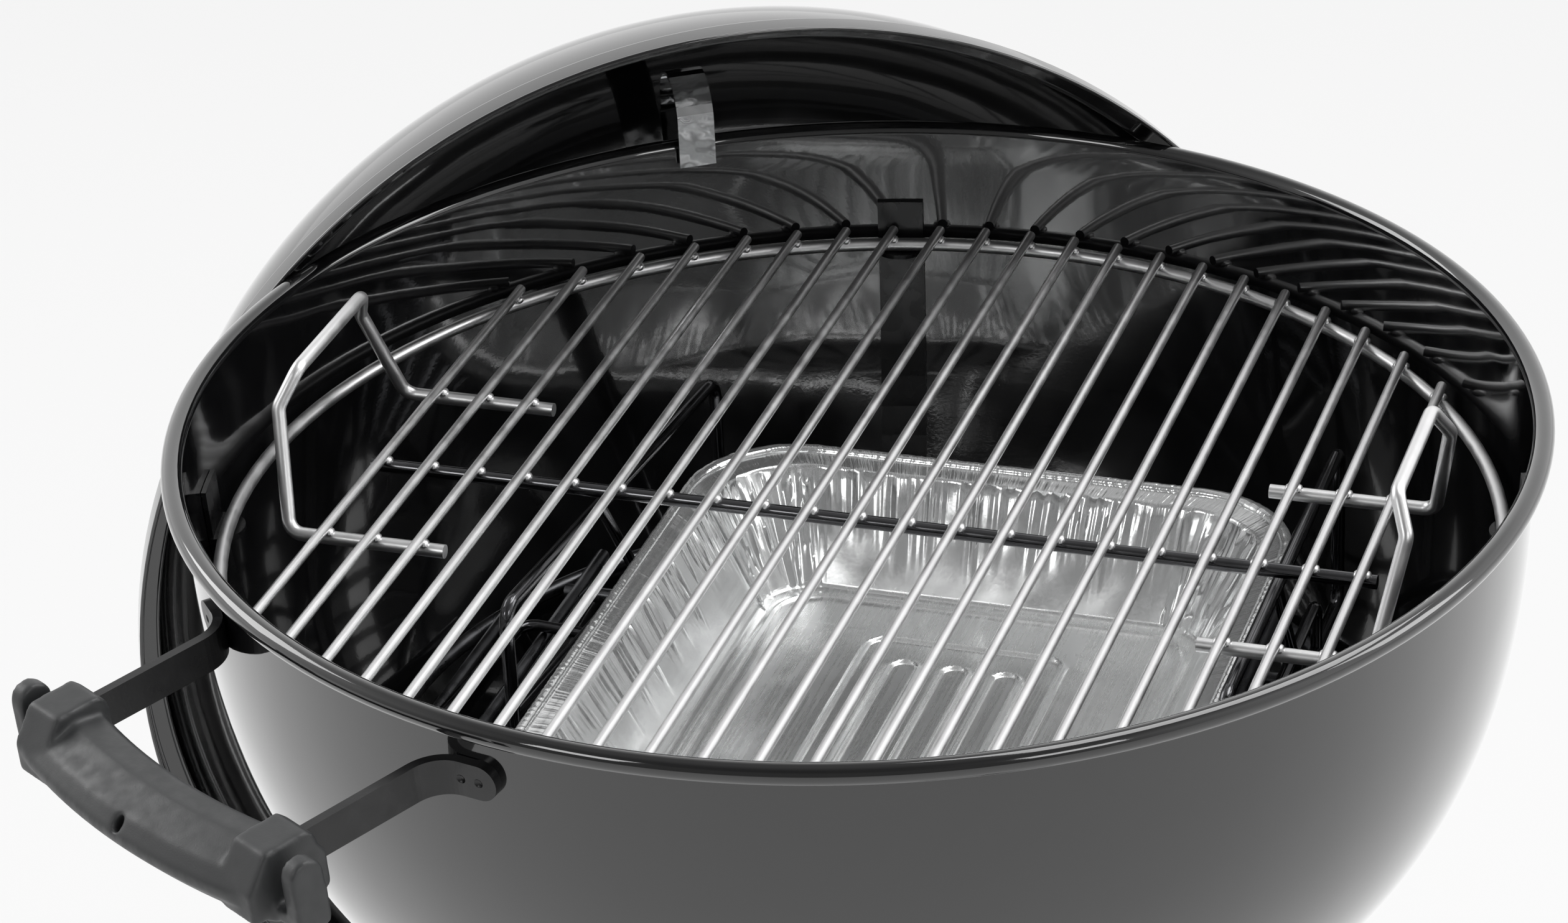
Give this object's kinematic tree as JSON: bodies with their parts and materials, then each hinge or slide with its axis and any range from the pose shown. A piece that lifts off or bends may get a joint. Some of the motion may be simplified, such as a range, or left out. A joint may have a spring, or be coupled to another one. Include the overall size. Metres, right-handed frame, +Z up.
{
  "type": "kettle charcoal grill",
  "caption": "Open kettle charcoal grill on splayed tube legs with wheels, its lid hung on the rim, a wire cooking grate over a foil drip pan between bent-wire charcoal rails, and a side handle.",
  "frame": {"origin": "on the ground under the bowl's axis", "axes": "+Z up along the bowl's axis; the cooking grate's rods run along Y and its lift handles lie at -X and +X; the lid hangs at the back left"},
  "size_m": [0.6633, 0.7689, 0.8069],
  "materials": {
    "enamel": "high-gloss porcelain enamel",
    "strap_steel": "plated sheet steel",
    "plated_wire": "nickel-plated steel wire",
    "coal_wire": "plain steel wire, matt",
    "rail_steel": "zinc-plated wire",
    "foil": "rolled aluminium foil",
    "hook_steel": "polished strap steel",
    "nylon": "fine moulded texture",
    "arm_steel": "enamelled steel strap",
    "leg_aluminium": "drawn tube, satin",
    "rack_steel": "plated wire, satin",
    "wheel_plastic": "moulded, fine texture",
    "bright_steel": "plated fasteners",
    "damper_aluminium": "rolled sheet, satin"
  },
  "bodies": {
    "stand": {"bowl": "enamel", "support_straps": "strap_steel", "handle_arm_left": "arm_steel", "handle_arm_right": "arm_steel", "side_grip": "nylon", "grip_screws": "bright_steel", "leg_sockets": "enamel", "front_leg": "leg_aluminium", "wheel_leg_left": "leg_aluminium", "wheel_leg_right": "leg_aluminium", "foot_cap": "wheel_plastic", "axle": "bright_steel", "hub_cap_left": "bright_steel", "hub_cap_right": "bright_steel", "rack_ring": "rack_steel", "rack_wires": "rack_steel", "rack_clips": "rack_steel", "ash_frame": "rack_steel"},
    "cooking_grate": {"cooking_ring": "plated_wire", "cooking_rods": "plated_wire", "cooking_cross_bar": "plated_wire", "cooking_handle_left": "plated_wire", "cooking_handle_right": "plated_wire"},
    "charcoal_grate": {"coal_ring": "coal_wire", "coal_rods": "coal_wire", "coal_cross_bars": "coal_wire", "coal_rail_left": "rail_steel", "coal_rail_right": "rail_steel"},
    "pan": {"drip_pan": "foil"},
    "lid": {"lid_shell": "enamel", "lid_hook": "hook_steel", "lid_grip": "nylon", "lid_heat_shield": "damper_aluminium", "lid_bolts": "bright_steel", "vent_rivet": "bright_steel"},
    "vent": {"vent_disc": "damper_aluminium"},
    "damper": {"damper_blades": "damper_aluminium", "damper_shaft": "bright_steel", "damper_lever": "damper_aluminium", "damper_grip": "nylon", "damper_nut": "bright_steel"},
    "ash_dish": {"ash_catcher": "damper_aluminium"},
    "left_wheel": {"wheel_left": "wheel_plastic"},
    "right_wheel": {"wheel_right": "wheel_plastic"}
  },
  "joints": [
    {"name": "lid_lift", "type": "slide", "parent": "stand", "child": "lid", "axis": [-0.0936, 0.1463, 0.9848], "range_m": [0, 0.53]},
    {"name": "vent_turn", "type": "hinge", "parent": "lid", "child": "vent", "pos_m": [-0.20575, 0.32172, 0.3892], "axis": [-0.5221, 0.8163, -0.2472], "range_deg": [0, 45]},
    {"name": "cooking_grate_lift", "type": "slide", "parent": "stand", "child": "cooking_grate", "axis": [0, 0, 1], "range_m": [0, 0.06]},
    {"name": "charcoal_grate_lift", "type": "slide", "parent": "stand", "child": "charcoal_grate", "axis": [0, 0, 1], "range_m": [0, 0.012]},
    {"name": "pan_lift", "type": "slide", "parent": "charcoal_grate", "child": "pan", "axis": [0, 0, 1], "range_m": [0, 0.035]},
    {"name": "damper_turn", "type": "hinge", "parent": "stand", "child": "damper", "pos_m": [0, 0, 0.446], "axis": [0, 0, 1], "range_deg": [0, 60]},
    {"name": "left_wheel_spin", "type": "hinge", "parent": "stand", "child": "left_wheel", "pos_m": [0.03096, 0.28699, 0.08], "axis": [-0.342, 0.9397, 0], "continuous": true},
    {"name": "right_wheel_spin", "type": "hinge", "parent": "stand", "child": "right_wheel", "pos_m": [0.20819, -0.19995, 0.08], "axis": [-0.342, 0.9397, 0], "continuous": true},
    {"name": "ash_catcher_slide", "type": "slide", "parent": "stand", "child": "ash_dish", "axis": [-0.1736, -0.9848, 0], "range_m": [0, 0.4]}
  ]
}
